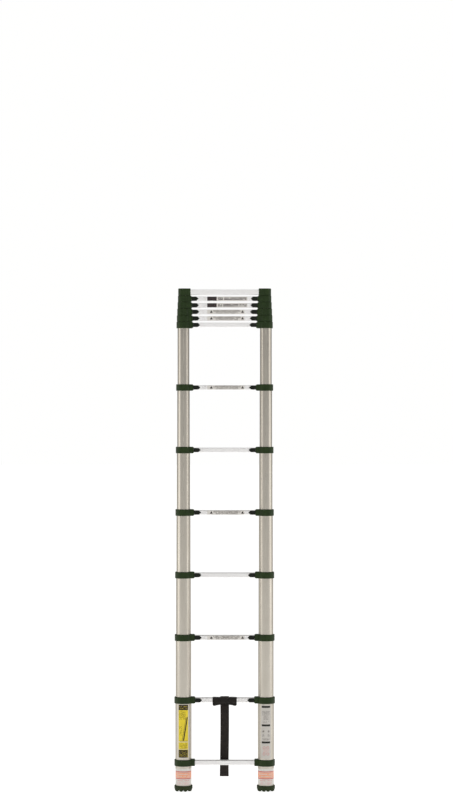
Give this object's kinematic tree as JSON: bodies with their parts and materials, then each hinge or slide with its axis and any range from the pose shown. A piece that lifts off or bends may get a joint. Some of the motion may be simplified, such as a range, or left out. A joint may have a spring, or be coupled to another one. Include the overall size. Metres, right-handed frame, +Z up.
{
  "type": "telescoping ladder",
  "caption": "Two-stile telescoping ladder of nested round tubes, with a sprung thumb-slide lock at each end of every rung, rubber feet and a closing strap.",
  "frame": {"origin": "on the floor, midway between the two feet and midway between front and back", "axes": "+Z up along the stiles, +X from the left foot to the right foot, the climber stands on the -Y side"},
  "size_m": [0.491, 0.089, 2.4488],
  "materials": {
    "anodised_tube": "satin anodised",
    "rung_aluminium": "satin extruded",
    "green_plastic": "fine moulded texture",
    "black_plastic": "matt",
    "green_rubber": "matt",
    "black_webbing": "woven"
  },
  "bodies": {
    "base": {"stiles_01": "anodised_tube", "base_rungs": "rung_aluminium", "base_collars": "green_plastic", "feet": "green_rubber", "closure_strap": "black_webbing"},
    "section_02": {"stiles_02": "anodised_tube", "rung_03": "rung_aluminium", "lock_collars_03": "green_plastic"},
    "section_03": {"stiles_03": "anodised_tube", "rung_04": "rung_aluminium", "lock_collars_04": "green_plastic"},
    "section_04": {"stiles_04": "anodised_tube", "rung_05": "rung_aluminium", "lock_collars_05": "green_plastic"},
    "section_05": {"stiles_05": "anodised_tube", "rung_06": "rung_aluminium", "lock_collars_06": "green_plastic"},
    "section_06": {"stiles_06": "anodised_tube", "rung_07": "rung_aluminium", "lock_collars_07": "green_plastic"},
    "section_07": {"stiles_07": "anodised_tube", "rung_08": "rung_aluminium", "lock_collars_08": "green_plastic"},
    "section_08": {"stiles_08": "anodised_tube", "rung_09": "rung_aluminium", "lock_collars_09": "green_plastic"},
    "section_09": {"stiles_09": "anodised_tube", "rung_10": "rung_aluminium", "lock_collars_10": "green_plastic"},
    "section_10": {"stiles_10": "anodised_tube", "rung_11": "rung_aluminium", "lock_collars_11": "green_plastic"},
    "section_11": {"stiles_11": "anodised_tube", "rung_12": "rung_aluminium", "lock_collars_12": "green_plastic"},
    "section_12": {"stiles_12": "anodised_tube", "rung_13": "rung_aluminium", "top_caps": "green_plastic"},
    "release_left_02": {"release_left_02": "black_plastic"},
    "release_right_02": {"release_right_02": "black_plastic"},
    "release_left_03": {"release_left_03": "black_plastic"},
    "release_right_03": {"release_right_03": "black_plastic"},
    "release_left_04": {"release_left_04": "black_plastic"},
    "release_right_04": {"release_right_04": "black_plastic"},
    "release_left_05": {"release_left_05": "black_plastic"},
    "release_right_05": {"release_right_05": "black_plastic"},
    "release_left_06": {"release_left_06": "black_plastic"},
    "release_right_06": {"release_right_06": "black_plastic"},
    "release_left_07": {"release_left_07": "black_plastic"},
    "release_right_07": {"release_right_07": "black_plastic"},
    "release_left_08": {"release_left_08": "black_plastic"},
    "release_right_08": {"release_right_08": "black_plastic"},
    "release_left_09": {"release_left_09": "black_plastic"},
    "release_right_09": {"release_right_09": "black_plastic"},
    "release_left_10": {"release_left_10": "black_plastic"},
    "release_right_10": {"release_right_10": "black_plastic"},
    "release_left_11": {"release_left_11": "black_plastic"},
    "release_right_11": {"release_right_11": "black_plastic"},
    "release_left_12": {"release_left_12": "black_plastic"},
    "release_right_12": {"release_right_12": "black_plastic"}
  },
  "joints": [
    {"name": "extend_section_02", "type": "slide", "parent": "base", "child": "section_02", "axis": [0, 0, 1], "range_m": [-0.2728, 0]},
    {"name": "extend_section_03", "type": "slide", "parent": "section_02", "child": "section_03", "axis": [0, 0, 1], "range_m": [-0.2728, 0]},
    {"name": "extend_section_04", "type": "slide", "parent": "section_03", "child": "section_04", "axis": [0, 0, 1], "range_m": [-0.2728, 0]},
    {"name": "extend_section_05", "type": "slide", "parent": "section_04", "child": "section_05", "axis": [0, 0, 1], "range_m": [-0.2728, 0]},
    {"name": "extend_section_06", "type": "slide", "parent": "section_05", "child": "section_06", "axis": [0, 0, 1], "range_m": [-0.2728, 0]},
    {"name": "extend_section_07", "type": "slide", "parent": "section_06", "child": "section_07", "axis": [0, 0, 1], "range_m": [-0.2728, 0]},
    {"name": "extend_section_08", "type": "slide", "parent": "section_07", "child": "section_08", "axis": [0, 0, 1], "range_m": [0, 0.2728]},
    {"name": "extend_section_09", "type": "slide", "parent": "section_08", "child": "section_09", "axis": [0, 0, 1], "range_m": [0, 0.2728]},
    {"name": "extend_section_10", "type": "slide", "parent": "section_09", "child": "section_10", "axis": [0, 0, 1], "range_m": [0, 0.2728]},
    {"name": "extend_section_11", "type": "slide", "parent": "section_10", "child": "section_11", "axis": [0, 0, 1], "range_m": [0, 0.2728]},
    {"name": "extend_section_12", "type": "slide", "parent": "section_11", "child": "section_12", "axis": [0, 0, 1], "range_m": [0, 0.2728]},
    {"name": "release_left_02", "type": "slide", "parent": "base", "child": "release_left_02", "axis": [1, 0, 0], "range_m": [0, 0.01], "stiffness_N_per_m": 600, "springref_m": -0.004},
    {"name": "release_right_02", "type": "slide", "parent": "base", "child": "release_right_02", "axis": [-1, 0, 0], "range_m": [0, 0.01], "stiffness_N_per_m": 600, "springref_m": -0.004},
    {"name": "release_left_03", "type": "slide", "parent": "section_02", "child": "release_left_03", "axis": [1, 0, 0], "range_m": [0, 0.01], "stiffness_N_per_m": 600, "springref_m": -0.004},
    {"name": "release_right_03", "type": "slide", "parent": "section_02", "child": "release_right_03", "axis": [-1, 0, 0], "range_m": [0, 0.01], "stiffness_N_per_m": 600, "springref_m": -0.004},
    {"name": "release_left_04", "type": "slide", "parent": "section_03", "child": "release_left_04", "axis": [1, 0, 0], "range_m": [0, 0.01], "stiffness_N_per_m": 600, "springref_m": -0.004},
    {"name": "release_right_04", "type": "slide", "parent": "section_03", "child": "release_right_04", "axis": [-1, 0, 0], "range_m": [0, 0.01], "stiffness_N_per_m": 600, "springref_m": -0.004},
    {"name": "release_left_05", "type": "slide", "parent": "section_04", "child": "release_left_05", "axis": [1, 0, 0], "range_m": [0, 0.01], "stiffness_N_per_m": 600, "springref_m": -0.004},
    {"name": "release_right_05", "type": "slide", "parent": "section_04", "child": "release_right_05", "axis": [-1, 0, 0], "range_m": [0, 0.01], "stiffness_N_per_m": 600, "springref_m": -0.004},
    {"name": "release_left_06", "type": "slide", "parent": "section_05", "child": "release_left_06", "axis": [1, 0, 0], "range_m": [0, 0.01], "stiffness_N_per_m": 600, "springref_m": -0.004},
    {"name": "release_right_06", "type": "slide", "parent": "section_05", "child": "release_right_06", "axis": [-1, 0, 0], "range_m": [0, 0.01], "stiffness_N_per_m": 600, "springref_m": -0.004},
    {"name": "release_left_07", "type": "slide", "parent": "section_06", "child": "release_left_07", "axis": [1, 0, 0], "range_m": [0, 0.01], "stiffness_N_per_m": 600, "springref_m": -0.004},
    {"name": "release_right_07", "type": "slide", "parent": "section_06", "child": "release_right_07", "axis": [-1, 0, 0], "range_m": [0, 0.01], "stiffness_N_per_m": 600, "springref_m": -0.004},
    {"name": "release_left_08", "type": "slide", "parent": "section_07", "child": "release_left_08", "axis": [1, 0, 0], "range_m": [0, 0.01], "stiffness_N_per_m": 600, "springref_m": -0.004},
    {"name": "release_right_08", "type": "slide", "parent": "section_07", "child": "release_right_08", "axis": [-1, 0, 0], "range_m": [0, 0.01], "stiffness_N_per_m": 600, "springref_m": -0.004},
    {"name": "release_left_09", "type": "slide", "parent": "section_08", "child": "release_left_09", "axis": [1, 0, 0], "range_m": [0, 0.01], "stiffness_N_per_m": 600, "springref_m": -0.004},
    {"name": "release_right_09", "type": "slide", "parent": "section_08", "child": "release_right_09", "axis": [-1, 0, 0], "range_m": [0, 0.01], "stiffness_N_per_m": 600, "springref_m": -0.004},
    {"name": "release_left_10", "type": "slide", "parent": "section_09", "child": "release_left_10", "axis": [1, 0, 0], "range_m": [0, 0.01], "stiffness_N_per_m": 600, "springref_m": -0.004},
    {"name": "release_right_10", "type": "slide", "parent": "section_09", "child": "release_right_10", "axis": [-1, 0, 0], "range_m": [0, 0.01], "stiffness_N_per_m": 600, "springref_m": -0.004},
    {"name": "release_left_11", "type": "slide", "parent": "section_10", "child": "release_left_11", "axis": [1, 0, 0], "range_m": [0, 0.01], "stiffness_N_per_m": 600, "springref_m": -0.004},
    {"name": "release_right_11", "type": "slide", "parent": "section_10", "child": "release_right_11", "axis": [-1, 0, 0], "range_m": [0, 0.01], "stiffness_N_per_m": 600, "springref_m": -0.004},
    {"name": "release_left_12", "type": "slide", "parent": "section_11", "child": "release_left_12", "axis": [1, 0, 0], "range_m": [0, 0.01], "stiffness_N_per_m": 600, "springref_m": -0.004},
    {"name": "release_right_12", "type": "slide", "parent": "section_11", "child": "release_right_12", "axis": [-1, 0, 0], "range_m": [0, 0.01], "stiffness_N_per_m": 600, "springref_m": -0.004}
  ]
}
